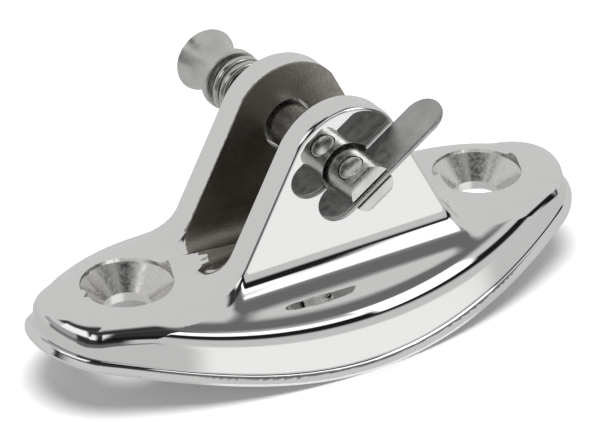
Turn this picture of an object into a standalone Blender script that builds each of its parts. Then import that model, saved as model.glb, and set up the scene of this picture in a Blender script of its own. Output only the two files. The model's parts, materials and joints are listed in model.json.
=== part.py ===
"""Canopy-frame deck hinge with a spring-loaded release pin and a toggle end.

A polished casting sits on a round rail: its underside is part of a cylinder, and two ears stand on it as
a fork. A spring-loaded pin runs through both ears. It has a knob behind the rear ear and a small toggle
lever riveted in its slotted nose in front of the front ear.

Frame: metres, +Z up, +X along the rail. The origin is on the underside's crest, midway between the screws.
"""
import bmesh
import bpy
from math import acos, asin, atan2, copysign, cos, hypot, pi, radians, sin, sqrt, tan
from mathutils import Matrix, Vector

MM = 0.001
GAP_FIT = 0.3 * MM
CUT_PAST = 4.0 * MM

# Casting: the saddle plate
RAIL_R = 26.3 * MM
LAND_Z = 4.7 * MM
HALF_LENGTH = 42.2 * MM
HALF_WIDTH = 19.0 * MM
END_R = 10.6 * MM
EDGE_H = 0.35 * MM
LEDGE_W = 1.0 * MM
LEDGE_SLOPE = tan(radians(33))
SKIRT_ANGLE = radians(83)
SIDE_SHOULDER_R = 5.5 * MM
END_SHOULDER_R = 2.0 * MM
LAND_HALF_Y = 6.8 * MM
ROLL_R = 10.0 * MM
APRON_ANGLE = radians(30)

# Casting: the fork
FORK_Y = -0.4 * MM
FORK_GAP = 9.7 * MM
EAR_T = 5.0 * MM
EAR_R = 9.07 * MM
EAR_FOOT_X = 17.3 * MM
EAR_FOOT_RISE = 0.5 * MM
PIN_Z = LAND_Z + 13.6 * MM
EAR_SINK = 1.8 * MM
PIN_BORE_R = 3.7 * MM

# Casting: the two countersunk screw holes
SCREW_X = 28.0 * MM
SINK_R = 6.3 * MM
SINK_LIP = 0.55 * MM
SCREW_R = 3.25 * MM

# Release pin, knob and spring
PIN_R = 3.2 * MM
NOSE_REACH = 6.4 * MM
NOSE_BEVEL = 1.1 * MM
SPIGOT_R = 1.8 * MM
KNOB_FRONT_Y = 19.2 * MM
KNOB_LENGTH = 8.2 * MM
KNOB_R = 4.65 * MM
COLLAR_R = 4.45 * MM
COLLAR_T = 1.3 * MM
NECK_R = 3.3 * MM
FLARE_POWER = 2.2
FLARE_MARGIN = 0.5 * MM
KNOB_EDGE = 0.35 * MM
KNOB_BORE_DEPTH = 6.0 * MM
SPRING_WIRE_R = 0.55 * MM
SPRING_R = 3.85 * MM
SPRING_TURNS = 3.4
CLOSE_TURNS = 2.0
CLOSE_PITCH = 1.7 * MM

# Toggle lever and its rivet
TOGGLE_ANGLE = radians(34)
LEVER_T = 0.8 * MM
LEVER_HALF_W = 3.1 * MM
TAB_REACH = 14.5 * MM
LOBE_REACH = 7.0 * MM
RIVET_R = 1.75 * MM
RIVET_DOME = 0.35 * MM
RIVET_STANDOFF = 0.35 * MM
SLOT_RELIEF = 0.4 * MM
SLOT_W = LEVER_T + 2 * GAP_FIT

FRONT_FACE_Y = FORK_Y - FORK_GAP / 2 - EAR_T
REAR_FACE_Y = FORK_Y + FORK_GAP / 2 + EAR_T
RIVET_Y = FRONT_FACE_Y - LEVER_HALF_W - RIVET_STANDOFF
NOSE_Y = FRONT_FACE_Y - NOSE_REACH

# Resolution of the curved surfaces
RING_ARC_STEPS = 26
RING_END_STEPS = 14
RING_INSETS = [v * MM for v in (1.0, 1.12, 1.3, 1.55, 1.9, 2.4, 3.0, 3.8, 4.8, 6.2, 8.0)]
UNDERSIDE_RINGS = (0.66, 0.33, 0.0)
TOP_ROWS = (9.6 * MM, 8.2 * MM, LAND_HALF_Y)
UNDERSIDE_ROWS = (4.4 * MM, 2.2 * MM)
CROWN_STEPS = 28
TURN_STEPS = 40
RIVET_STEPS = 28
RIVET_DOME_STEPS = 4
LEVER_END_STEPS = 14
NOSE_STEPS = 5
FLARE_STEPS = 9
WIRE_STEPS = 16

TOGGLE_DIR = Vector((cos(TOGGLE_ANGLE), 0, sin(TOGGLE_ANGLE)))
RIVET_DIR = Vector((sin(TOGGLE_ANGLE), 0, -cos(TOGGLE_ANGLE)))


def clear_scene():
    for obj in list(bpy.data.objects):
        bpy.data.objects.remove(obj)


def collection(name):
    group = bpy.data.collections.new(name)
    bpy.context.scene.collection.children.link(group)
    return group


def material(name, color, metallic, roughness):
    mat = bpy.data.materials.new(name)
    mat.use_nodes = True
    shader = mat.node_tree.nodes["Principled BSDF"]
    shader.inputs["Base Color"].default_value = (*color, 1)
    shader.inputs["Metallic"].default_value = metallic
    shader.inputs["Roughness"].default_value = roughness
    return mat


def add_object(name, mesh, group, mat=None):
    obj = bpy.data.objects.new(name, mesh)
    group.objects.link(obj)
    if mat:
        mesh.materials.append(mat)
    return obj


def hide_cutter(obj):
    obj.hide_render = True
    obj.display_type = "WIRE"


def boolean(obj, cutter, operation):
    mod = obj.modifiers.new(cutter.name, "BOOLEAN")
    mod.operation = operation
    mod.object = cutter
    mod.solver = "EXACT"


def smooth(mesh, angle=35):
    mesh.shade_smooth()
    mesh.set_sharp_from_angle(angle=radians(angle))


def baked_mesh(obj):
    """Mesh of an object with its modifiers or curve applied, welded."""
    graph = bpy.context.evaluated_depsgraph_get()
    mesh = bpy.data.meshes.new_from_object(obj.evaluated_get(graph))
    bm = bmesh.new()
    bm.from_mesh(mesh)
    bmesh.ops.remove_doubles(bm, verts=bm.verts, dist=1e-6)
    bmesh.ops.recalc_face_normals(bm, faces=bm.faces)
    bm.to_mesh(mesh)
    bm.free()
    return mesh


def flat_solid(name, outline, thickness, matrix, group):
    """Solid of an outline in local XY, centred on its thickness."""
    data = bpy.data.curves.new(name + "_outline", "CURVE")
    data.dimensions = "2D"
    data.fill_mode = "BOTH"
    data.extrude = thickness / 2
    spline = data.splines.new("POLY")
    spline.points.add(len(outline) - 1)
    for point, (x, y) in zip(spline.points, outline):
        point.co = (x, y, 0, 1)
    spline.use_cyclic_u = True
    guide = bpy.data.objects.new(name + "_outline", data)
    group.objects.link(guide)
    guide.matrix_world = matrix
    bpy.context.view_layer.update()
    obj = add_object(name, baked_mesh(guide), group)
    obj.matrix_world = guide.matrix_world
    bpy.data.objects.remove(guide)
    return obj


def turned_solid(name, profile, matrix, group, steps=TURN_STEPS):
    """Solid turned about local Z from (radius, height) points, from the top axis to the bottom axis."""
    bm = bmesh.new()
    verts = [bm.verts.new((r, 0, z)) for r, z in profile]
    for first, second in zip(verts, verts[1:]):
        bm.edges.new((first, second))
    mesh = bpy.data.meshes.new(name)
    bm.to_mesh(mesh)
    bm.free()
    obj = add_object(name, mesh, group)
    obj.matrix_world = matrix
    screw = obj.modifiers.new("turn", "SCREW")
    screw.axis = "Z"
    screw.steps = steps
    screw.render_steps = steps
    screw.use_merge_vertices = True
    screw.merge_threshold = 1e-6
    return obj


def arc(cx, cy, radius, start, end, steps):
    angles = [start + (end - start) * i / steps for i in range(steps + 1)]
    return [(cx + radius * cos(a), cy + radius * sin(a)) for a in angles]


def axes_matrix(x_axis, y_axis, z_axis, origin):
    mat = Matrix((x_axis, y_axis, z_axis)).transposed().to_4x4()
    mat.translation = origin
    return mat


def along_y(y, z=PIN_Z):
    """Places a solid turned about Z on the pin's axis, local +Z towards the rear, from the given Y."""
    return axes_matrix(Vector((0, 0, 1)), Vector((1, 0, 0)), Vector((0, 1, 0)), Vector((0, y, z)))


# ---------------------------------------------------------------- saddle plate

def underside_z(y):
    return sqrt(RAIL_R ** 2 - y ** 2) - RAIL_R


def top_z(y):
    """Height of the plate's top across the rail: a flat land, a roll, then a straight apron."""
    reach = abs(y) - LAND_HALF_Y
    roll_end = ROLL_R * sin(APRON_ANGLE)
    if reach <= 0:
        return LAND_Z
    if reach < roll_end:
        return LAND_Z - ROLL_R + sqrt(ROLL_R ** 2 - reach ** 2)
    return LAND_Z - ROLL_R * (1 - cos(APRON_ANGLE)) - (reach - roll_end) * tan(APRON_ANGLE)


def shoulder_z(inset, y, edge_z, facing_y):
    """Height of the outer surface at an inset from the outline: the skirt rolled over into the top.

    facing_y is the share along Y of the outline's normal; the roll is wider on the sides than at the ends.
    """
    crease_z = edge_z + EDGE_H + LEDGE_W * LEDGE_SLOPE
    skirt_z = crease_z + (inset - LEDGE_W) * tan(SKIRT_ANGLE)
    top = top_z(y)
    tilt = min(asin(min(max(abs(y) - LAND_HALF_Y, 0) / ROLL_R, 1)), APRON_ANGLE)
    radius = END_SHOULDER_R + (SIDE_SHOULDER_R - END_SHOULDER_R) * facing_y ** 2
    facing = cos(tilt) * cos(SKIRT_ANGLE) + sin(tilt) * sin(SKIRT_ANGLE) * facing_y
    low = min(skirt_z, top) - radius
    high = min(skirt_z, top)
    for _ in range(40):
        z = (low + high) / 2
        u = radius - (top - z) * cos(tilt)
        v = radius - (skirt_z - z) * cos(SKIRT_ANGLE)
        outside = max(u, v)
        if u > v * facing and v > u * facing:
            outside = sqrt((u * u + v * v - 2 * u * v * facing) / (1 - facing ** 2))
        if outside > radius:
            high = z
        else:
            low = z
    return max(low, crease_z)


def plate_stations():
    """Outline of the plate as (centre, radius, angle, inset at which the outline meets the X axis)."""
    side_r = ((HALF_LENGTH - END_R) ** 2 + HALF_WIDTH ** 2 - END_R ** 2) / (2 * (HALF_WIDTH - END_R))
    offset = side_r - HALF_WIDTH
    end_x = HALF_LENGTH - END_R
    joint = atan2(offset, end_x)
    stations = []
    for i in range(RING_END_STEPS):
        angle = -joint + 2 * joint * i / RING_END_STEPS
        stations.append(((end_x, 0), END_R, angle, END_R))
    for i in range(RING_ARC_STEPS):
        angle = joint + (pi - 2 * joint) * i / RING_ARC_STEPS
        stations.append(((0, -offset), side_r, angle, side_r - offset / sin(angle)))
    opposite = [((-c[0], -c[1]), r, angle + pi, inset) for c, r, angle, inset in stations]
    return stations + opposite


def plate_mesh():
    """Plate lofted ring by ring, from the crest of the underside out to its edge and back over the top."""
    stations = plate_stations()
    bm = bmesh.new()
    rings = []

    def point(station, inset):
        (cx, cy), radius, angle, _ = station
        return cx + (radius - inset) * cos(angle), cy + (radius - inset) * sin(angle)

    for fraction in UNDERSIDE_RINGS:
        ring = []
        for station in stations:
            x, y = point(station, station[3] * fraction)
            ring.append(bm.verts.new((x, y, underside_z(y))))
        rings.append(ring)
    for inset in [0] + RING_INSETS:
        ring = []
        for station in stations:
            edge_y = point(station, 0)[1]
            x, y = point(station, inset)
            edge_z = underside_z(edge_y)
            z = edge_z + EDGE_H if inset == 0 else shoulder_z(inset, y, edge_z, abs(sin(station[2])))
            ring.append(bm.verts.new((x, y, z)))
        rings.append(ring)
    for lower, upper in zip(rings, rings[1:]):
        for i in range(len(lower)):
            j = (i + 1) % len(lower)
            bm.faces.new((lower[i], lower[j], upper[j], upper[i]))
    close_along_spine(bm, rings[0], underside_z, UNDERSIDE_ROWS)
    close_along_spine(bm, rings[-1], top_z, TOP_ROWS)
    bmesh.ops.recalc_face_normals(bm, faces=bm.faces)
    mesh = bpy.data.meshes.new("deck_base")
    bm.to_mesh(mesh)
    bm.free()
    return mesh


def close_along_spine(bm, ring, height, rows):
    """Joins a ring to a line of points on the X axis, through rows at fixed distances from it."""
    half = len(ring) // 2
    quarter = RING_END_STEPS // 2
    order = ring[quarter:] + ring[:quarter]
    rear = order[:half + 1]
    front = [order[0]] + list(reversed(order[half:]))
    spine = [bm.verts.new((vert.co.x, 0, height(0))) for vert in rear[1:-1]]
    spine = [rear[0]] + spine + [rear[-1]]
    for side in (rear, front):
        outer = side
        for reach in rows:
            inner = [row_vertex(bm, vert, reach, height) for vert in outer]
            add_strip(bm, inner, outer)
            outer = inner
        add_strip(bm, spine, outer)


def row_vertex(bm, vert, reach, height):
    """The vertex itself if it lies within reach of the X axis, or else a new one at that reach."""
    if abs(vert.co.y) <= reach:
        return vert
    return bm.verts.new((vert.co.x, copysign(reach, vert.co.y), height(reach)))


def add_strip(bm, inner, outer):
    for i in range(len(inner) - 1):
        loop = list(dict.fromkeys((inner[i], inner[i + 1], outer[i + 1], outer[i])))
        if len(loop) > 2:
            bm.faces.new(loop)


# ---------------------------------------------------------------- fork and holes

def ear_outline():
    """Side view of an ear: a round top with straight flanks tangent to it."""
    foot_z = LAND_Z - EAR_SINK
    flank_z = LAND_Z + EAR_FOOT_RISE
    reach = hypot(EAR_FOOT_X, PIN_Z - flank_z)
    steep = atan2(PIN_Z - flank_z, EAR_FOOT_X) + acos(sqrt(1 - (EAR_R / reach) ** 2))
    foot_x = EAR_FOOT_X + (flank_z - foot_z) / tan(steep)
    tangent = pi / 2 - steep
    top = arc(0, PIN_Z, EAR_R, tangent, pi - tangent, CROWN_STEPS)
    return [(foot_x, foot_z)] + top + [(-foot_x, foot_z)]


def ear(name, centre_y, group):
    upright = axes_matrix(Vector((1, 0, 0)), Vector((0, 0, 1)), Vector((0, -1, 0)), Vector((0, centre_y, 0)))
    return flat_solid(name, ear_outline(), EAR_T, upright, group)


def screw_cutter(name, x, group):
    """Countersink with a short straight lip, a 90 degree cone and a clearance hole."""
    cone_top = LAND_Z - SINK_LIP
    cone_end = cone_top - (SINK_R - SCREW_R)
    above = LAND_Z + CUT_PAST
    below = -CUT_PAST
    sink = [(0, above), (SINK_R, above), (SINK_R, cone_top)]
    hole = [(SCREW_R, cone_end), (SCREW_R, below), (0, below)]
    return turned_solid(name, sink + hole, Matrix.Translation((x, 0, 0)), group)


def bore_cutter(group):
    start = FRONT_FACE_Y - CUT_PAST
    length = REAR_FACE_Y + CUT_PAST - start
    return turned_solid("pin_bore_cutter", straight_profile(PIN_BORE_R, length), along_y(start), group)


def deck_base(parts, cutters, mat):
    base = add_object("deck_base", plate_mesh(), parts, mat)
    ear_offset = (FORK_GAP + EAR_T) / 2
    for name, side in (("front_ear", -1), ("rear_ear", 1)):
        piece = ear(name, FORK_Y + side * ear_offset, cutters)
        hide_cutter(piece)
        boolean(base, piece, "UNION")
    holes = [bore_cutter(cutters)]
    for name, x in (("left_screw_cutter", -SCREW_X), ("right_screw_cutter", SCREW_X)):
        holes.append(screw_cutter(name, x, cutters))
    for cutter in holes:
        hide_cutter(cutter)
        boolean(base, cutter, "DIFFERENCE")
    smooth(base.data)


# ---------------------------------------------------------------- pin, knob, spring

def release_pin(parts, cutters, mat, axis):
    """Shaft with a bevelled nose, a thin tail for the knob and a slot for the lever."""
    length = KNOB_FRONT_Y - NOSE_Y
    tail = length + KNOB_BORE_DEPTH - GAP_FIT
    nose = arc(PIN_R - NOSE_BEVEL, NOSE_BEVEL, NOSE_BEVEL, 0, -pi / 2, NOSE_STEPS)
    shoulder = length - GAP_FIT
    profile = [(0, tail), (SPIGOT_R, tail), (SPIGOT_R, shoulder), (PIN_R, shoulder)] + nose + [(0, 0)]
    pin = turned_solid("release_pin", profile, along_y(NOSE_Y), parts)
    pin.data.materials.append(mat)
    slot_end = RIVET_Y + LOBE_REACH + SLOT_RELIEF
    slot_start = NOSE_Y - CUT_PAST
    slot = box("slot_cutter", (PIN_R * 4, slot_end - slot_start, SLOT_W), cutters)
    slot.matrix_world = toggle_matrix((slot_end + slot_start) / 2)
    rivet_hole = rivet_cutter("rivet_hole_cutter", PIN_R + CUT_PAST, cutters)
    for cutter in (slot, rivet_hole):
        hide_cutter(cutter)
        boolean(pin, cutter, "DIFFERENCE")
    smooth(pin.data)
    keep_on_axis(pin, axis)


def straight_profile(radius, length):
    return [(0, length), (radius, length), (radius, 0), (0, 0)]


def toggle_matrix(y):
    """Local +X along the lever's tab and +Z through its thickness, on the pin's axis at the given Y."""
    return axes_matrix(TOGGLE_DIR, Vector((0, 1, 0)), RIVET_DIR * -1, Vector((0, y, PIN_Z)))


def rivet_cutter(name, reach, group):
    """Cuts the rivet's hole to a reach on both sides of the pin's axis."""
    return turned_solid(name, straight_profile(RIVET_R + GAP_FIT, 2 * reach), rivet_matrix(-reach), group)


def rivet_matrix(offset):
    """Local +Z along the rivet, starting at an offset from the pin's axis."""
    origin = Vector((0, RIVET_Y, PIN_Z)) + RIVET_DIR * offset
    return axes_matrix(Vector((0, 1, 0)).cross(RIVET_DIR), Vector((0, 1, 0)), RIVET_DIR, origin)


def box(name, size, group):
    mesh = bpy.data.meshes.new(name)
    bm = bmesh.new()
    bmesh.ops.create_cube(bm, size=1)
    bmesh.ops.scale(bm, vec=size, verts=bm.verts)
    bm.to_mesh(mesh)
    bm.free()
    return add_object(name, mesh, group)


def keep_on_axis(obj, axis):
    """Parents a placed object to its joint's empty without moving it."""
    bpy.context.view_layer.update()
    world = obj.matrix_world.copy()
    obj.parent = axis
    obj.matrix_parent_inverse = axis.matrix_world.inverted()
    obj.matrix_world = world


def pull_knob(parts, mat, axis):
    """Trumpet-shaped knob: a collar for the spring, a thin neck and a flared rear end, bored for the pin."""
    bore_r = SPIGOT_R + GAP_FIT
    flare = []
    flare_top = KNOB_LENGTH - FLARE_MARGIN
    flare_foot = COLLAR_T + FLARE_MARGIN
    for i in range(FLARE_STEPS + 1):
        t = i / FLARE_STEPS
        radius = NECK_R + (KNOB_R - NECK_R) * (1 - t) ** FLARE_POWER
        flare.append((radius, flare_top + (flare_foot - flare_top) * t))
    profile = [(0, KNOB_LENGTH), (KNOB_R - KNOB_EDGE, KNOB_LENGTH)] + flare
    profile += [(COLLAR_R - KNOB_EDGE, COLLAR_T), (COLLAR_R, COLLAR_T - KNOB_EDGE)]
    profile += [(COLLAR_R, KNOB_EDGE), (COLLAR_R - KNOB_EDGE, 0)]
    profile += [(bore_r, 0), (bore_r, KNOB_BORE_DEPTH), (0, KNOB_BORE_DEPTH)]
    knob = turned_solid("pull_knob", profile, along_y(KNOB_FRONT_Y), parts)
    knob.data.materials.append(mat)
    smooth(knob.data)
    keep_on_axis(knob, axis)


def return_spring(parts, mat, axis):
    """Coil between the knob's collar and the rear ear, closer at the collar."""
    start = REAR_FACE_Y + GAP_FIT + SPRING_WIRE_R
    end = KNOB_FRONT_Y - GAP_FIT - SPRING_WIRE_R
    open_turns = SPRING_TURNS - CLOSE_TURNS
    open_length = end - start - CLOSE_TURNS * CLOSE_PITCH
    count = round(SPRING_TURNS * WIRE_STEPS)
    data = bpy.data.curves.new("return_spring", "CURVE")
    data.dimensions = "3D"
    data.bevel_depth = SPRING_WIRE_R
    data.bevel_resolution = 2
    data.use_fill_caps = True
    spline = data.splines.new("POLY")
    spline.points.add(count)
    for i, point in enumerate(spline.points):
        turn = i / WIRE_STEPS
        advance = min(turn, open_turns) / open_turns * open_length + max(turn - open_turns, 0) * CLOSE_PITCH
        angle = 2 * pi * turn
        point.co = (SPRING_R * sin(angle), start + advance, PIN_Z + SPRING_R * cos(angle), 1)
    spring = bpy.data.objects.new("return_spring", data)
    parts.objects.link(spring)
    data.materials.append(mat)
    keep_on_axis(spring, axis)


# ---------------------------------------------------------------- toggle

def toggle_lever(parts, cutters, mat, axis):
    """Flat stamped lever: long tab and short lobe with round ends, pierced for the rivet."""
    tab = arc(TAB_REACH - LEVER_HALF_W, 0, LEVER_HALF_W, -pi / 2, pi / 2, LEVER_END_STEPS)
    lobe = arc(LEVER_HALF_W - LOBE_REACH, 0, LEVER_HALF_W, pi / 2, 3 * pi / 2, LEVER_END_STEPS)
    lever = flat_solid("toggle_lever", tab + lobe, LEVER_T, toggle_matrix(RIVET_Y), parts)
    lever.data.materials.append(mat)
    hole = rivet_cutter("lever_hole_cutter", CUT_PAST, cutters)
    hide_cutter(hole)
    boolean(lever, hole, "DIFFERENCE")
    keep_on_axis(lever, axis)


def toggle_rivet(parts, mat, axis):
    """Cross rivet through both prongs, with slightly domed ends."""
    dome = arc(0, 0, 1, pi / 2, 0, RIVET_DOME_STEPS)
    upper = [(RIVET_R * across, PIN_R - RIVET_DOME * (1 - up)) for across, up in dome]
    lower = [(radius, -height) for radius, height in reversed(upper)]
    rivet = turned_solid("toggle_rivet", [(0, PIN_R)] + upper[1:] + lower[:-1] + [(0, -PIN_R)],
                         rivet_matrix(0), parts, RIVET_STEPS)
    rivet.data.materials.append(mat)
    smooth(rivet.data)
    keep_on_axis(rivet, axis)


def joint_empty(name, location, group):
    empty = bpy.data.objects.new(name, None)
    empty.location = location
    group.objects.link(empty)
    bpy.context.view_layer.update()
    return empty


def main():
    clear_scene()
    parts = collection("canopy_deck_hinge")
    cutters = collection("cutters")
    polished = material("polished_steel", (0.80, 0.80, 0.79), 1.0, 0.05)
    satin = material("satin_steel", (0.66, 0.66, 0.64), 1.0, 0.28)
    tumbled = material("tumbled_steel", (0.42, 0.42, 0.41), 1.0, 0.38)
    wire = material("spring_wire", (0.60, 0.59, 0.57), 1.0, 0.15)

    pin_axis = joint_empty("pin_axis", (0, RIVET_Y, PIN_Z), parts)
    deck_base(parts, cutters, polished)
    release_pin(parts, cutters, satin, pin_axis)
    pull_knob(parts, satin, pin_axis)
    return_spring(parts, wire, pin_axis)
    toggle_lever(parts, cutters, tumbled, pin_axis)
    toggle_rivet(parts, satin, pin_axis)


main()
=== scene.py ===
"""Looks of the canopy deck hinge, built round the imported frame."""
import json
from math import atan2, cos, hypot, pi, radians, sin, sqrt, tan

import bpy
import numpy as np
from mathutils import Matrix, Vector


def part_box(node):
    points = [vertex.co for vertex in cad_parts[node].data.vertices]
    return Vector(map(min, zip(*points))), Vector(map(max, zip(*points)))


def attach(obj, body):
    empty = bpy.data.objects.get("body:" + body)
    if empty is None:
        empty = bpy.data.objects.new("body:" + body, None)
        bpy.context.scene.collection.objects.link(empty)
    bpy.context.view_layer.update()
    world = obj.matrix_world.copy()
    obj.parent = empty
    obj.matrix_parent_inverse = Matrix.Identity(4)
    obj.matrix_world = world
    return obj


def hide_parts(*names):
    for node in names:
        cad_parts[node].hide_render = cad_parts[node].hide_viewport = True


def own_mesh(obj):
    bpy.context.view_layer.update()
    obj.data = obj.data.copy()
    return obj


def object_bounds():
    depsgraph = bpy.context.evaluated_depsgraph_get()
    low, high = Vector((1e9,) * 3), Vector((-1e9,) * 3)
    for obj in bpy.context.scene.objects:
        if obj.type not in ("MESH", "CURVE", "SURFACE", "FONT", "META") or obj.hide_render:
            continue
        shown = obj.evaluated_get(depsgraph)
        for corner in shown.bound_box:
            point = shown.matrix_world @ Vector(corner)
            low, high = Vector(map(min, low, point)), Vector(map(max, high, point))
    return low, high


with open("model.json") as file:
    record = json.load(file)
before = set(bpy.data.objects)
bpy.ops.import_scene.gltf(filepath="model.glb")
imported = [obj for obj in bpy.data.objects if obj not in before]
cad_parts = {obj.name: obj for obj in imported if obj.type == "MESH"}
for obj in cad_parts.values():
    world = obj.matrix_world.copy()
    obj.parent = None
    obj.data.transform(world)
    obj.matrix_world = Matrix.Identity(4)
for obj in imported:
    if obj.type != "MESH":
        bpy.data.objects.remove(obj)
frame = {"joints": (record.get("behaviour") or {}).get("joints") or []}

CAD_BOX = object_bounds()
MM = 0.001

# Shape of the casting, in millimetres in the frame's axes
RAIL_R = 26.3
LAND_Z = 4.7
HALF_LENGTH = 42.2
HALF_WIDTH = 19.0
END_R = 10.6
EDGE_H = 0.35
LEDGE_W = 1.0
LEDGE_SLOPE = tan(radians(33))
SKIRT_ANGLE = radians(83)
SIDE_SHOULDER_R = 5.5
END_SHOULDER_R = 2.0
LAND_HALF_Y = 6.8
ROLL_R = 10.0
APRON_ANGLE = radians(30)
CREASE_R = 0.35

FORK_Y = -0.4
FORK_GAP = 9.7
EAR_T = 5.0
EAR_R = 9.07
EAR_FOOT_X = 17.3
EAR_FOOT_RISE = 0.5
PIN_BORE_R = 3.7
BORE_EDGE_R = 0.15
FOOT_FILLET_R = 3.4
FACET_DEPTH = 0.22
ROLLED_EDGE_R = 1.9
FRONT_EDGE_R = 0.8
CAST_EDGE_R = 0.15
CAST_INSET = 0.85
CAST_SPILL = 0.3
CAST_PAST_EDGE = 0.25

SCREW_X = 28.0
SINK_R = 6.3
SINK_LIP = 0.55
SCREW_R = 3.25

JOINTS = {joint["name"]: joint for joint in frame["joints"]}
PIN_Z = JOINTS["toggle_flip"]["pos_m"][2] / MM
RIVET_Y = JOINTS["toggle_flip"]["pos_m"][1] / MM
FLIP_AXIS = Vector(JOINTS["toggle_flip"]["axis"])
TOGGLE_DIR = Vector((-FLIP_AXIS.z, 0, FLIP_AXIS.x))

# Pin and toggle, in millimetres
PIN_R = 3.2
NOSE_R = 1.3
SPIGOT_R = 1.8
LEVER_T = 0.8
LEVER_HALF_W = 3.1
TAB_REACH = 14.5
LOBE_REACH = 7.0
SLOT_GAP = 0.3
RIVET_R = 1.75
RIVET_DOME_R = 5.0
LEVER_EDGE_R = 0.28
RIVET_EDGE_R = 0.25

# Knob and spring, in millimetres
KNOB_R = 4.65
KNOB_NECK_R = 3.3
KNOB_COLLAR_R = 4.45
KNOB_BORE_DEPTH = 6.0
FLARE_POWER = 2.2
SPRING_WIRE_R = 0.55
SPRING_R = 3.85
SPRING_TURNS = 3.4
CLOSE_TURNS = 2.0
CLOSE_PITCH = 1.7

# Studio tent: each panel or card is laid over the ones before it. Its values are middle azimuth, half width,
# low and high elevation, lean, softness and brightness. Angles are in degrees, azimuth from the front.
TENT_BRIGHTNESS = 0.66
FLOOR_GLOW = 0.60
PANELS = [
    (-70, 45, -6, 12, 0.0, 8, 0.2),
    (-57, 60, 50, 70, 0.0, 12, 0.04),
    (-28, 33, 5, 54, 0.0, 10, 0.035),
    (-97, 36, 12, 30, 0.0, 8, 0.38),
    (-65, 28, 31, 54, -0.1, 8, 1.05),
    (30, 30, 32, 56, 0.0, 12, 0.16),
    (25, 34, -70, -3, 0.0, 8, 0.98),
    (-40, 24, -10, 5, 0.0, 6, 0.14),
    (24, 60, 2, 22, -0.22, 5, 0.012),
    (10, 18, 21, 29, -0.1, 3, 1.5),
    (38, 9, 12, 33, 0.0, 3, 2.0),
    (25, 50, -14, 6, -0.2, 6, 0.62),
]

# ---------------------------------------------------------------- solids as distance fields
# A field is a function of three arrays in millimetres: negative inside, about the distance near it.

def round_and(a, b, r):
    """Where both fields are inside, with the edge between them rounded."""
    u = np.maximum(r + a, 0)
    v = np.maximum(r + b, 0)
    return np.minimum(-r, np.maximum(a, b)) + np.hypot(u, v)


def fillet_or(a, b, r):
    """Where either field is inside, with a fillet between them."""
    u = np.maximum(r - a, 0)
    v = np.maximum(r - b, 0)
    return np.maximum(r, np.minimum(a, b)) - np.hypot(u, v)


def underside_z(y):
    return np.sqrt(np.maximum(RAIL_R ** 2 - y ** 2, 0)) - RAIL_R


def arc_and(a, b, r, facing):
    """Like round_and, with a true arc where the surfaces meet; facing is the cosine between their normals."""
    u, v = a + r, b + r
    corner = (u > v * facing) & (v > u * facing)
    past = np.sqrt(np.maximum(u * u + v * v - 2 * u * v * facing, 0) / (1 - facing * facing))
    return np.where(corner, past, np.maximum(u, v)) - r


def outline_inset(x, y):
    """Distance inside the outline, the Y of the nearest outline point and the share of its normal along Y."""
    ax, ay = np.abs(x), np.abs(y)
    side_r = ((HALF_LENGTH - END_R) ** 2 + HALF_WIDTH ** 2 - END_R ** 2) / (2 * (HALF_WIDTH - END_R))
    offset = side_r - HALF_WIDTH
    end_x = HALF_LENGTH - END_R
    side_dist = np.hypot(ax, ay + offset)
    end_dist = np.hypot(ax - end_x, ay)
    on_end = (ax - end_x) * offset > ay * end_x
    inset = np.where(on_end, END_R - end_dist, side_r - side_dist)
    end_edge = ay / np.maximum(end_dist, 1e-6) * END_R
    side_edge = (ay + offset) / side_dist * side_r - offset
    end_facing = ay / np.maximum(end_dist, 1e-6)
    side_facing = (ay + offset) / side_dist
    return inset, np.where(on_end, end_edge, side_edge), np.where(on_end, end_facing, side_facing)


def plate_top(y, z):
    """Flat land, roll and apron, extruded along the rail, and the tilt of the nearest of them."""
    reach = np.abs(y) - LAND_HALF_Y
    roll_end = ROLL_R * sin(APRON_ANGLE)
    apron_z = LAND_Z - ROLL_R * (1 - cos(APRON_ANGLE))
    flat = z - LAND_Z
    roll = np.hypot(reach, z - LAND_Z + ROLL_R) - ROLL_R
    apron = (z - apron_z) * cos(APRON_ANGLE) + (reach - roll_end) * sin(APRON_ANGLE)
    angle = np.clip(np.arctan2(reach, np.maximum(z - LAND_Z + ROLL_R, 1e-6)), 0, APRON_ANGLE)
    return np.where(angle <= 0, flat, np.where(angle < APRON_ANGLE, roll, apron)), angle


def plate(x, y, z):
    inset, edge_y, along_y = outline_inset(x, y)
    edge_z = underside_z(edge_y)
    crease_z = edge_z + EDGE_H + LEDGE_W * LEDGE_SLOPE
    skirt = (z - crease_z - (inset - LEDGE_W) * tan(SKIRT_ANGLE)) * cos(SKIRT_ANGLE)
    top, tilt = plate_top(y, z)
    facing = np.cos(tilt) * cos(SKIRT_ANGLE) + np.sin(tilt) * sin(SKIRT_ANGLE) * along_y
    radius = END_SHOULDER_R + (SIDE_SHOULDER_R - END_SHOULDER_R) * along_y ** 2
    dome = arc_and(top, skirt, radius, facing)
    ledge = (z - edge_z - EDGE_H - inset * LEDGE_SLOPE) / sqrt(1 + LEDGE_SLOPE ** 2)
    shell = fillet_or(dome, ledge, CREASE_R)
    return np.maximum(shell, -inset)


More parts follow.
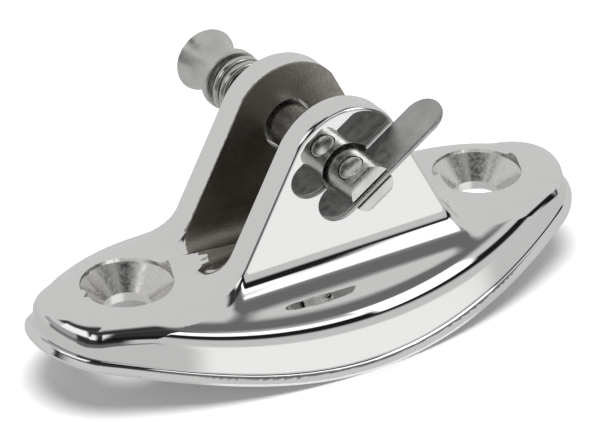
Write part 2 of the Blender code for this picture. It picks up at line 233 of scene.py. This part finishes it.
def ear(x, y, z, side):
    """One ear of the fork: side is -1 for the front ear and 1 for the rear one."""
    ax, up = np.abs(x), z - PIN_Z
    flank_z = LAND_Z + EAR_FOOT_RISE
    reach = hypot(EAR_FOOT_X, PIN_Z - flank_z)
    lean = pi / 2 - atan2(PIN_Z - flank_z, EAR_FOOT_X) - np.arccos(sqrt(1 - (EAR_R / reach) ** 2))
    flank = ax * cos(lean) + up * sin(lean) - EAR_R
    crown = np.hypot(ax, up) - EAR_R
    profile = np.where(up * cos(lean) > ax * sin(lean), crown, flank)
    across = side * (y - FORK_Y)
    outer = across - FORK_GAP / 2 - EAR_T
    inner = FORK_GAP / 2 - across
    front = side < 0
    body = round_and(profile, outer, FRONT_EDGE_R if front else ROLLED_EDGE_R)
    body = np.maximum(body, round_and(profile, inner, ROLLED_EDGE_R if front else CAST_EDGE_R))
    return np.maximum(body, flank + FACET_DEPTH)


def casting(x, y, z):
    body = plate(x, y, z)
    fork = np.minimum(ear(x, y, z, -1), ear(x, y, z, 1))
    body = fillet_or(body, fork, FOOT_FILLET_R)
    body = np.maximum(body, RAIL_R - np.hypot(y, z + RAIL_R))
    bore = PIN_BORE_R - np.hypot(x, z - PIN_Z)
    body = round_and(body, bore, BORE_EDGE_R)
    radial = np.hypot(np.abs(x) - SCREW_X, y)
    cone_top = LAND_Z - SINK_LIP
    lip = np.maximum(radial - SINK_R, cone_top - z)
    cone = (radial - SINK_R + cone_top - z) * sqrt(0.5)
    sink = np.minimum(np.maximum(cone, z - cone_top), lip)
    return np.maximum(body, -np.minimum(sink, radial - SCREW_R))


# ---------------------------------------------------------------- meshing a field

def gradient(field, points, step=0.004):
    slopes = []
    for axis in range(3):
        shift = np.zeros(3)
        shift[axis] = step
        high = field(*(points + shift).T)
        low = field(*(points - shift).T)
        slopes.append(high - low)
    slopes = np.stack(slopes, 1)
    return slopes / np.maximum(np.linalg.norm(slopes, axis=1, keepdims=True), 1e-12)


def surface_mesh(name, field, grids, lift=None):
    """Mesh of a field's zero surface, with sharp edges kept (dual contouring).

    grids are the X, Y and Z grid lines; lift, if given, raises each column of Z lines by lift(y).
    Shading normals come from the field, so flat and curved areas reflect cleanly.
    """
    gx, gy, gz = grids
    raised = lift(gy) if lift else np.zeros_like(gy)
    shape = (len(gx), len(gy), len(gz))
    corner_x = np.broadcast_to(gx[:, None, None], shape)
    corner_y = np.broadcast_to(gy[None, :, None], shape)
    corner_z = np.broadcast_to(gz[None, None, :] + raised[None, :, None], shape)
    values = field(corner_x, corner_y, corner_z)
    inside = values < 0

    cell_shape = tuple(n - 1 for n in shape)
    points, normals, quads, owners = [], [], [], []
    edge_count = 0
    for axis in range(3):
        low = [slice(None)] * 3
        high = [slice(None)] * 3
        low[axis] = slice(0, -1)
        high[axis] = slice(1, None)
        change = inside[tuple(low)] != inside[tuple(high)]
        others = [a for a in range(3) if a != axis]
        for other in others:
            ends = [slice(None)] * 3
            ends[other] = [0, -1]
            change[tuple(ends)] = False
        index = np.argwhere(change)
        tip = index.copy()
        tip[:, axis] += 1
        start = np.stack([gx[index[:, 0]], gy[index[:, 1]], gz[index[:, 2]] + raised[index[:, 1]]], 1)
        end = np.stack([gx[tip[:, 0]], gy[tip[:, 1]], gz[tip[:, 2]] + raised[tip[:, 1]]], 1)
        start_in = inside[tuple(index.T)]
        a = np.where(start_in[:, None], start, end)
        b = np.where(start_in[:, None], end, start)
        for _ in range(14):
            middle = (a + b) / 2
            is_in = field(*middle.T) < 0
            a = np.where(is_in[:, None], middle, a)
            b = np.where(is_in[:, None], b, middle)
        crossing = (a + b) / 2
        slope = gradient(field, crossing)
        cells = []
        for shift in ((0, 0), (1, 0), (1, 1), (0, 1)):
            cell = index.copy()
            cell[:, others[0]] -= shift[0]
            cell[:, others[1]] -= shift[1]
            cells.append(np.ravel_multi_index(cell.T, cell_shape))
        cells = np.stack(cells, 1)
        flip = start_in != (axis == 1)
        cells = np.where(flip[:, None], cells, cells[:, ::-1])
        points.append(np.repeat(crossing, 4, 0))
        normals.append(np.repeat(slope, 4, 0))
        owners.append(cells.ravel())
        quads.append(cells)
        edge_count += len(index)
    points, normals, owners = np.concatenate(points), np.concatenate(normals), np.concatenate(owners)
    quads = np.concatenate(quads)
    used, owner = np.unique(owners, return_inverse=True)
    count = np.bincount(owner).astype(float)

    def total(weights):
        return np.bincount(owner, weights=weights, minlength=len(used))

    mean = np.stack([total(points[:, i]) / count for i in range(3)], 1)
    offset = points - mean[owner]
    distance = (normals * offset).sum(1)
    matrix = np.empty((len(used), 3, 3))
    right = np.stack([total(normals[:, i] * distance) for i in range(3)], 1)
    for i in range(3):
        for j in range(3):
            matrix[:, i, j] = total(normals[:, i] * normals[:, j])
    scale, basis = np.linalg.eigh(matrix)
    keep = scale > 0.04 * scale[:, 2:3]
    inverse = np.where(keep, 1 / np.maximum(scale, 1e-9), 0)
    local = np.einsum("nji,nj->ni", basis, right) * inverse
    verts = mean + np.einsum("nij,nj->ni", basis, local)
    cell_index = np.stack(np.unravel_index(used, cell_shape), 1)
    raise_at = lift(verts[:, 1]) if lift else 0
    for axis, lines in enumerate((gx, gy)):
        verts[:, axis] = np.clip(verts[:, axis], lines[cell_index[:, axis]], lines[cell_index[:, axis] + 1])
    flat_z = np.clip(verts[:, 2] - raise_at, gz[cell_index[:, 2]], gz[cell_index[:, 2] + 1])
    verts[:, 2] = flat_z + (lift(verts[:, 1]) if lift else 0)
    sharp = keep.sum(1) > 1
    slope = gradient(field, verts)
    smooth_verts = ~sharp
    verts[smooth_verts] -= slope[smooth_verts] * field(*verts[smooth_verts].T)[:, None]

    faces = np.searchsorted(used, quads)
    corner_normals = slope[faces]
    centre = verts[faces].mean(1, keepdims=True)
    beside = verts[faces] + 0.3 * (centre - verts[faces])
    at_edge = sharp[faces]
    corner_normals[at_edge] = gradient(field, beside[at_edge])

    mesh = bpy.data.meshes.new(name)
    mesh.from_pydata((verts * MM).tolist(), [], faces.tolist())
    mesh.shade_smooth()
    mesh.update()
    mesh.normals_split_custom_set(corner_normals.reshape(-1, 3).tolist())
    return mesh, verts


def add_piece(name, mesh, body, node, slot, *materials):
    piece = bpy.data.objects.new(name, mesh)
    bpy.context.scene.collection.objects.link(piece)
    for mat in materials:
        mesh.materials.append(mat)
    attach(piece, body)
    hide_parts(node)
    return piece


def lines(low, high, step):
    return np.linspace(low, high, int(round((high - low) / step)) + 1)


def refined(low, high, step, fine, spots):
    """Grid lines from low to high, closer together within some reach of each spot."""
    out = [low]
    while out[-1] < high:
        near = min(max(abs(out[-1] + fine - spot) - reach, 0) for spot, reach in spots)
        out.append(out[-1] + min(step, fine + near / 3))
    return np.array(out)


def store(mesh, name, values):
    attribute = mesh.attributes.new(name, "FLOAT", "POINT")
    attribute.data.foreach_set("value", values.astype(np.float32))


# ---------------------------------------------------------------- materials

def node_material(name):
    mat = bpy.data.materials.new(name)
    mat.use_nodes = True
    return mat, mat.node_tree.nodes, mat.node_tree.links, mat.node_tree.nodes["Principled BSDF"]


def add_node(nodes, kind, **values):
    node = nodes.new(kind)
    for key, value in values.items():
        if key.startswith("in_"):
            node.inputs[key[3:].replace("_", " ")].default_value = value
        else:
            setattr(node, key, value)
    return node


def noise(nodes, links, coords, scale, detail=4.0):
    node = add_node(nodes, "ShaderNodeTexNoise", in_Scale=scale, in_Detail=detail)
    links.new(coords, node.inputs["Vector"])
    return node.outputs["Fac"]


def remap(nodes, links, value, low, high, to_low, to_high):
    node = add_node(nodes, "ShaderNodeMapRange", clamp=True)
    links.new(value, node.inputs["Value"])
    for key, number in (("From Min", low), ("From Max", high), ("To Min", to_low), ("To Max", to_high)):
        node.inputs[key].default_value = number
    return node.outputs["Result"]


def blend_value(nodes, links, factor, a, b):
    """a where factor is 0 and b where it is 1; each may be a number or a socket."""
    node = add_node(nodes, "ShaderNodeMix", data_type="FLOAT")
    links.new(factor, node.inputs[0])
    for socket, value in ((node.inputs[2], a), (node.inputs[3], b)):
        if isinstance(value, (int, float)):
            socket.default_value = value
        else:
            links.new(value, socket)
    return node.outputs[0]


def blend_color(nodes, links, factor, a, b):
    node = add_node(nodes, "ShaderNodeMix", data_type="RGBA")
    links.new(factor, node.inputs[0])
    for socket, value in ((node.inputs[6], a), (node.inputs[7], b)):
        if isinstance(value, tuple):
            socket.default_value = (*value, 1)
        else:
            links.new(value, socket)
    return node.outputs[2]


def attribute_socket(nodes, name):
    return add_node(nodes, "ShaderNodeAttribute", attribute_name=name).outputs["Fac"]


def combine(nodes, links, operation, a, b):
    node = add_node(nodes, "ShaderNodeMath", operation=operation)
    for socket, value in zip(node.inputs, (a, b)):
        if isinstance(value, (int, float)):
            socket.default_value = value
        else:
            links.new(value, socket)
    return node.outputs[0]


def casting_material():
    """Mirror polish with faint scratches, and rough as-cast steel inside the fork."""
    mat, nodes, links, shader = node_material("polished_casting")
    coords = add_node(nodes, "ShaderNodeTexCoord").outputs["Object"]
    edge_wobble = combine(nodes, links, "MULTIPLY", noise(nodes, links, coords, 1500), 0.5)
    cast_depth = combine(nodes, links, "ADD", attribute_socket(nodes, "cast_depth"), edge_wobble)
    cast = remap(nodes, links, cast_depth, 0.22, 0.30, 0, 1)

    scratch_map = add_node(nodes, "ShaderNodeMapping")
    scratch_map.inputs["Scale"].default_value = (60, 1200, 1200)
    scratch_map.inputs["Rotation"].default_value = (0.3, 0.2, 0.7)
    links.new(coords, scratch_map.inputs["Vector"])
    scratches = noise(nodes, links, scratch_map.outputs["Vector"], 3, 2)
    haze = noise(nodes, links, coords, 120, 5)
    polish = remap(nodes, links, haze, 0.35, 0.75, 0.025, 0.05)
    polish = combine(nodes, links, "ADD", polish, remap(nodes, links, scratches, 0.68, 0.76, 0, 0.05))

    grain = noise(nodes, links, coords, 2600, 3)
    blotch = noise(nodes, links, coords, 260, 4)
    cast_color = blend_color(nodes, links, blotch, (0.24, 0.22, 0.19), (0.46, 0.44, 0.40))
    cast_rough = remap(nodes, links, grain, 0.3, 0.7, 0.34, 0.5)

    color = blend_color(nodes, links, cast, (0.83, 0.83, 0.82), cast_color)
    rough = blend_value(nodes, links, cast, polish, cast_rough)
    height = blend_value(nodes, links, cast, 0.5, grain)
    bump = add_node(nodes, "ShaderNodeBump", in_Strength=0.5, in_Distance=0.00006)
    links.new(height, bump.inputs["Height"])
    links.new(bump.outputs["Normal"], shader.inputs["Normal"])
    links.new(color, shader.inputs["Base Color"])
    links.new(rough, shader.inputs["Roughness"])
    shader.inputs["Metallic"].default_value = 1.0
    return mat


def machined_material():
    """Countersinks: bright, with a fine sparkle."""
    mat, nodes, links, shader = node_material("machined_sinks")
    coords = add_node(nodes, "ShaderNodeTexCoord").outputs["Object"]
    grain = noise(nodes, links, coords, 1800, 3)
    shader.inputs["Base Color"].default_value = (0.80, 0.79, 0.77, 1)
    links.new(remap(nodes, links, grain, 0.3, 0.7, 0.16, 0.34), shader.inputs["Roughness"])
    bump = add_node(nodes, "ShaderNodeBump", in_Strength=0.3, in_Distance=0.00003)
    links.new(grain, bump.inputs["Height"])
    links.new(bump.outputs["Normal"], shader.inputs["Normal"])
    shader.inputs["Metallic"].default_value = 1.0
    return mat


def turned_material(name, color, rough, ring_scale=0.0, speckle=1600, strength=0.25, axis_vector=(0, 1, 0)):
    """Satin steel: fine speckle, and rings round an axis where ring_scale isn't 0."""
    mat, nodes, links, shader = node_material(name)
    coords = add_node(nodes, "ShaderNodeTexCoord").outputs["Object"]
    grain = noise(nodes, links, coords, speckle, 3)
    blotch = noise(nodes, links, coords, 300, 3)
    tone = remap(nodes, links, blotch, 0.3, 0.7, 0.86, 1.08)
    shade = add_node(nodes, "ShaderNodeMix", data_type="RGBA", blend_type="MULTIPLY")
    shade.inputs[0].default_value = 1.0
    shade.inputs[6].default_value = (*color, 1)
    links.new(tone, shade.inputs[7])
    links.new(shade.outputs[2], shader.inputs["Base Color"])
    height = grain
    if ring_scale:
        stretch = add_node(nodes, "ShaderNodeMapping")
        stretch.inputs["Scale"].default_value = tuple(ring_scale if a else 20 for a in axis_vector)
        links.new(coords, stretch.inputs["Vector"])
        rings = noise(nodes, links, stretch.outputs["Vector"], 1, 2)
        height = combine(nodes, links, "ADD", grain, rings)
    links.new(remap(nodes, links, grain, 0.3, 0.7, rough * 0.8, rough * 1.2), shader.inputs["Roughness"])
    bump = add_node(nodes, "ShaderNodeBump", in_Strength=strength, in_Distance=0.00006)
    links.new(height, bump.inputs["Height"])
    links.new(bump.outputs["Normal"], shader.inputs["Normal"])
    shader.inputs["Metallic"].default_value = 1.0
    return mat


# ---------------------------------------------------------------- pieces

def deck_base():
    step = 0.32
    fine = step / 3
    spots = [(side * (FORK_GAP / 2 + EAR_T) + FORK_Y, FRONT_EDGE_R) for side in (-1, 1)]
    spots += [(side * FORK_GAP / 2 + FORK_Y, FRONT_EDGE_R) for side in (-1, 1)]
    grids = (
        lines(-42.6, 42.6, step),
        refined(-19.4, 19.4, step, fine, spots),
        refined(-0.225, PIN_Z + EAR_R + 3.2, step, fine, [(0.7, 1.0)]),
    )
    mesh, verts = surface_mesh("deck_base_surface", casting, grids, underside_z)
    x, y, z = verts.T
    gap_depth = FORK_GAP / 2 - np.abs(y - FORK_Y)
    flank = ear(x, np.full_like(x, FORK_Y + FORK_GAP / 2 + EAR_T / 2), z, 1)
    inset = np.where(y < FORK_Y, CAST_INSET, -CAST_SPILL)
    store(mesh, "cast_depth", np.minimum(gap_depth + CAST_PAST_EDGE, -flank - inset))
    finishes = (casting_material(), machined_material())
    piece = add_piece("deck_base_polished", mesh, "base", "deck_base", "polished_steel", *finishes)
    for face in mesh.polygons:
        if hypot(abs(face.center.x) / MM - SCREW_X, face.center.y / MM) < SINK_R:
            face.material_index = face.center.z / MM < LAND_Z - 0.05
    return piece


def toggle_axes(x, y, z):
    """Coordinates along the lever, across it from the ear, and through its thickness."""
    up = z - PIN_Z
    along = x * TOGGLE_DIR.x + up * TOGGLE_DIR.z
    through = -(x * FLIP_AXIS.x + up * FLIP_AXIS.z)
    return along, y - RIVET_Y, through


def pin_field(x, y, z):
    along, across, through = toggle_axes(x, y, z)
    low_y, high_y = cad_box("release_pin", 1)
    radius = np.hypot(x, z - PIN_Z)
    shaft_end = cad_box("pull_knob", 1)[0] - SLOT_GAP
    shaft = round_and(radius - PIN_R, y - shaft_end, 0.2)
    spigot = round_and(radius - SPIGOT_R, y - high_y, 0.3)
    body = np.minimum(shaft, spigot)
    body = np.maximum(body, low_y - y)
    nose = round_and(np.abs(through) - PIN_R, low_y - y, NOSE_R)
    body = np.maximum(body, nose)
    slot_end = LOBE_REACH + 0.4
    slot = np.maximum(np.abs(through) - LEVER_T / 2 - SLOT_GAP, across - slot_end)
    body = round_and(body, -slot, 0.12)
    hole = np.hypot(along, across) - RIVET_R - 0.12
    return np.maximum(body, -hole)


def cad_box(node, axis):
    low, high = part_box(node)
    return low[axis] / MM, high[axis] / MM


def release_pin(mat):
    step = 0.16
    low_y, high_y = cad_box("release_pin", 1)
    grids = (
        lines(-3.5, 3.5, step),
        lines(low_y - 0.3, high_y + 0.3, step * 1.25),
        lines(PIN_Z - 3.5, PIN_Z + 3.5, step),
    )
    mesh, _ = surface_mesh("release_pin_surface", pin_field, grids)
    return add_piece("release_pin_satin", mesh, "pin", "release_pin", "satin_steel", mat)


def lever_field(x, y, z):
    along, across, through = toggle_axes(x, y, z)
    tab_end = TAB_REACH - LEVER_HALF_W
    lobe_end = LEVER_HALF_W - LOBE_REACH
    nearest = np.clip(along, lobe_end, tab_end)
    outline = np.hypot(along - nearest, across) - LEVER_HALF_W
    body = round_and(outline, np.abs(through) - LEVER_T / 2, LEVER_EDGE_R)
    return np.maximum(body, RIVET_R + 0.1 - np.hypot(along, across))


def toggle_lever(mat):
    step = 0.13
    grids = []
    for axis in range(3):
        low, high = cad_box("toggle_lever", axis)
        grids.append(lines(low - 0.2, high + 0.2, step))
    mesh, _ = surface_mesh("toggle_lever_surface", lever_field, grids)
    return add_piece("toggle_lever_tumbled", mesh, "toggle", "toggle_lever", "tumbled_steel", mat)


def rivet_field(x, y, z):
    along, across, through = toggle_axes(x, y, z)
    radius = np.hypot(along, across)
    top = np.hypot(radius, np.abs(through) - (PIN_R - RIVET_DOME_R)) - RIVET_DOME_R
    return round_and(radius - RIVET_R, top, RIVET_EDGE_R)


def toggle_rivet(mat):
    step = 0.11
    grids = []
    for axis in range(3):
        low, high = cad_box("toggle_rivet", axis)
        grids.append(lines(low - 0.15, high + 0.15, step))
    mesh, _ = surface_mesh("toggle_rivet_surface", rivet_field, grids)
    return add_piece("toggle_rivet_domed", mesh, "pin", "toggle_rivet", "satin_steel", mat)


def revolve(name, profile, steps=128):
    """Mesh turned about the pin's axis from (radius, y) points that run from axis to axis."""
    angles = [2 * pi * i / steps for i in range(steps)]
    verts, faces = [], []
    rings = []
    for radius, y in profile:
        if radius < 1e-6:
            rings.append([len(verts)] * steps)
            verts.append((0, y * MM, PIN_Z * MM))
        else:
            rings.append(list(range(len(verts), len(verts) + steps)))
            verts += [(radius * sin(a) * MM, y * MM, (PIN_Z + radius * cos(a)) * MM) for a in angles]
    for near, far in zip(rings, rings[1:]):
        for i in range(steps):
            j = (i + 1) % steps
            loop = list(dict.fromkeys((near[i], near[j], far[j], far[i])))
            if len(loop) > 2:
                faces.append(loop)
    mesh = bpy.data.meshes.new(name)
    mesh.from_pydata(verts, [], faces)
    mesh.shade_smooth()
    mesh.set_sharp_from_angle(angle=radians(28))
    mesh.update()
    return mesh


def rounded(profile, radii, steps=6):
    """Profile with the corner at each point rounded by the matching radius."""
    out = [profile[0]]
    for before, here, after, radius in zip(profile, profile[1:], profile[2:], radii):
        if radius <= 0:
            out.append(here)
            continue
        p0, p, p1 = Vector(before), Vector(here), Vector(after)
        a, b = (p0 - p).normalized(), (p1 - p).normalized()
        reach = radius / tan(a.angle(b) / 2)
        start, end = p + a * reach, p + b * reach
        for i in range(steps + 1):
            t = i / steps
            q = start.lerp(p, t).lerp(p.lerp(end, t), t)
            out.append((q.x, q.y))
    out.append(profile[-1])
    return out


def pull_knob(mat):
    front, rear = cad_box("pull_knob", 1)
    flare = []
    for i in range(17):
        t = i / 16
        y = rear - 0.5 - (rear - 0.5 - front - 1.9) * t
        flare.append((KNOB_NECK_R + (KNOB_R - KNOB_NECK_R) * (1 - t) ** FLARE_POWER, y))
    bore_r = SPIGOT_R + SLOT_GAP
    cap = [(0, rear - 0.25), (2.2, rear - 0.12), (4.25, rear)]
    collar = [(KNOB_COLLAR_R, front + 1.3), (KNOB_COLLAR_R, front)]
    bore = [(bore_r, front), (bore_r, front + KNOB_BORE_DEPTH), (0, front + KNOB_BORE_DEPTH)]
    profile = cap + flare + collar + bore
    radii = [0.4, 0.35] + [0] * len(flare) + [0.3, 0.3, 0, 0]
    mesh = revolve("pull_knob_surface", rounded(profile, radii)[::-1])
    return add_piece("pull_knob_turned", mesh, "pin", "pull_knob", "satin_steel", mat)


def return_spring(mat):
    low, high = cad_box("return_spring", 1)
    start, end = low + SPRING_WIRE_R, high - SPRING_WIRE_R
    open_turns = SPRING_TURNS - CLOSE_TURNS
    open_length = end - start - CLOSE_TURNS * CLOSE_PITCH
    per_turn, around = 64, 20
    count = int(SPRING_TURNS * per_turn)
    verts, faces = [], []
    for i in range(count + 1):
        turn = i / per_turn
        closing = max(turn - open_turns, 0) * CLOSE_PITCH
        y = start + min(turn, open_turns) / open_turns * open_length + closing
        angle = 2 * pi * turn
        out = Vector((sin(angle), 0, cos(angle)))
        centre = out * SPRING_R + Vector((0, y, PIN_Z))
        for k in range(around):
            turn_k = 2 * pi * k / around
            skin = (out * cos(turn_k) + Vector((0, 1, 0)) * sin(turn_k)) * SPRING_WIRE_R
            verts.append((centre + skin) * MM)
    for i in range(count):
        for k in range(around):
            j = (k + 1) % around
            faces.append((i * around + k, (i + 1) * around + k, (i + 1) * around + j, i * around + j))
    faces.append(list(range(around)))
    faces.append([count * around + k for k in range(around)][::-1])
    mesh = bpy.data.meshes.new("return_spring_surface")
    mesh.from_pydata([tuple(v) for v in verts], [], faces)
    mesh.shade_smooth()
    mesh.set_sharp_from_angle(angle=radians(50))
    mesh.update()
    spring = add_piece("return_spring_coil", mesh, "spring", "return_spring", "spring_wire", mat)
    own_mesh(spring)
    return spring


# ---------------------------------------------------------------- stage

def direction_angles(nodes, links):
    """Azimuth from straight in front towards +X, and elevation, in degrees, seen from the origin."""
    coords = add_node(nodes, "ShaderNodeTexCoord").outputs["Object"]
    unit = add_node(nodes, "ShaderNodeVectorMath", operation="NORMALIZE")
    links.new(coords, unit.inputs[0])
    split = add_node(nodes, "ShaderNodeSeparateXYZ")
    links.new(unit.outputs[0], split.inputs[0])
    forward = combine(nodes, links, "MULTIPLY", split.outputs["Y"], -1.0)
    azimuth = combine(nodes, links, "ARCTAN2", split.outputs["X"], forward)
    elevation = add_node(nodes, "ShaderNodeMath", operation="ARCSINE")
    links.new(split.outputs["Z"], elevation.inputs[0])
    degrees = 180 / pi
    azimuth = combine(nodes, links, "MULTIPLY", azimuth, degrees)
    return azimuth, combine(nodes, links, "MULTIPLY", elevation.outputs[0], degrees)


def soft_step(nodes, links, value, edge, width):
    node = add_node(nodes, "ShaderNodeMapRange", interpolation_type="SMOOTHSTEP")
    links.new(value, node.inputs["Value"])
    node.inputs["From Min"].default_value = edge - width / 2
    node.inputs["From Max"].default_value = edge + width / 2
    return node.outputs["Result"]


def tent():
    """A pale surround with white panels and black cards, seen only in reflections."""
    mesh = bpy.data.meshes.new("tent")
    radius = 2.2
    rows, columns = 44, 64
    verts, faces = [], []
    for i in range(rows + 1):
        e = radians(-88 + 178 * i / rows)
        for j in range(columns):
            a = 2 * pi * j / columns
            verts.append((radius * cos(e) * sin(a), -radius * cos(e) * cos(a), radius * sin(e)))
    for i in range(rows):
        for j in range(columns):
            k, m = i * columns + j, i * columns + (j + 1) % columns
            faces.append((k, m, m + columns, k + columns))
    mesh.from_pydata(verts, [], faces)
    mesh.shade_smooth()
    obj = bpy.data.objects.new("tent", mesh)
    bpy.context.scene.collection.objects.link(obj)
    mat = bpy.data.materials.new("tent")
    mat.use_nodes = True
    nodes, links = mat.node_tree.nodes, mat.node_tree.links
    nodes.clear()
    azimuth, elevation = direction_angles(nodes, links)
    above = soft_step(nodes, links, elevation, -6, 8)
    brightness = blend_value(nodes, links, above, FLOOR_GLOW, TENT_BRIGHTNESS)
    for middle, half_width, low, high, lean, softness, level in PANELS:
        off = combine(nodes, links, "SUBTRACT", azimuth, float(middle))
        away = combine(nodes, links, "ABSOLUTE", off, 0.0)
        height = combine(nodes, links, "SUBTRACT", elevation, combine(nodes, links, "MULTIPLY", off, lean))
        within = combine(nodes, links, "SUBTRACT", float(half_width), away)
        mask = soft_step(nodes, links, within, 0, softness)
        mask = combine(nodes, links, "MULTIPLY", mask, soft_step(nodes, links, height, low, softness))
        over = combine(nodes, links, "SUBTRACT", float(high), height)
        mask = combine(nodes, links, "MULTIPLY", mask, soft_step(nodes, links, over, 0, softness))
        brightness = blend_value(nodes, links, mask, brightness, level)
    shader = nodes.new("ShaderNodeEmission")
    links.new(brightness, shader.inputs["Strength"])
    out = nodes.new("ShaderNodeOutputMaterial")
    links.new(shader.outputs[0], out.inputs[0])
    mesh.materials.append(mat)
    obj.visible_camera = False
    obj.visible_shadow = False


def floor():
    low = CAD_BOX[0][2]
    mesh = bpy.data.meshes.new("floor")
    size = 3.0
    corners = [(-size, -size, low), (size, -size, low), (size, size, low), (-size, size, low)]
    mesh.from_pydata(corners, [], [(0, 1, 2, 3)])
    obj = bpy.data.objects.new("floor", mesh)
    bpy.context.scene.collection.objects.link(obj)
    mat, nodes, links, shader = node_material("pale_floor")
    shader.inputs["Base Color"].default_value = (0.9, 0.9, 0.9, 1)
    shader.inputs["Roughness"].default_value = 0.9
    mesh.materials.append(mat)
    obj.visible_glossy = False


def camera():
    azimuth, elevation, roll = radians(-31.242), radians(30.398), radians(-0.657)
    back = Vector((sin(azimuth) * cos(elevation), -cos(azimuth) * cos(elevation), sin(elevation)))
    right = Vector((cos(azimuth), sin(azimuth), 0))
    up = back.cross(right)
    right_r = right * cos(roll) + up * sin(roll)
    up_r = up * cos(roll) - right * sin(roll)
    data = bpy.data.cameras.new("camera")
    data.lens = 185.7
    data.sensor_width = 36
    data.shift_x = -0.0115
    data.shift_y = 0.0227
    obj = bpy.data.objects.new("camera", data)
    obj.matrix_world = Matrix((right_r, up_r, back)).transposed().to_4x4()
    obj.location = Vector((0, 0, LAND_Z * MM)) + back * 0.4225
    bpy.context.scene.collection.objects.link(obj)
    bpy.context.scene.camera = obj


def studio():
    world = bpy.data.worlds.new("studio")
    bpy.context.scene.world = world
    world.use_nodes = True
    world.node_tree.nodes["Background"].inputs[0].default_value = (1, 1, 1, 1)
    world.node_tree.nodes["Background"].inputs[1].default_value = 1.0
    tent()
    data = bpy.data.lights.new("overhead", "AREA")
    data.shape = "DISK"
    data.size = 0.7
    data.energy = 7.5
    light = bpy.data.objects.new("overhead", data)
    light.location = (0, 0, 0.8)
    light.visible_glossy = False
    bpy.context.scene.collection.objects.link(light)
    bpy.context.scene.view_settings.view_transform = "Standard"


satin = turned_material("satin_pin", (0.70, 0.69, 0.67), 0.28, 900)
knob_finish = turned_material("turned_knob", (0.66, 0.66, 0.64), 0.30, 1400, strength=0.35)
tumbled = turned_material("tumbled_lever", (0.48, 0.48, 0.47), 0.36, 0, 900, 0.6)
wire_finish = turned_material("bright_wire", (0.60, 0.59, 0.57), 0.16, 0, 1200, 0.1)

camera()
floor()
studio()
deck_base()
release_pin(satin)
toggle_lever(tumbled)
toggle_rivet(satin)
pull_knob(knob_finish)
return_spring(wire_finish)
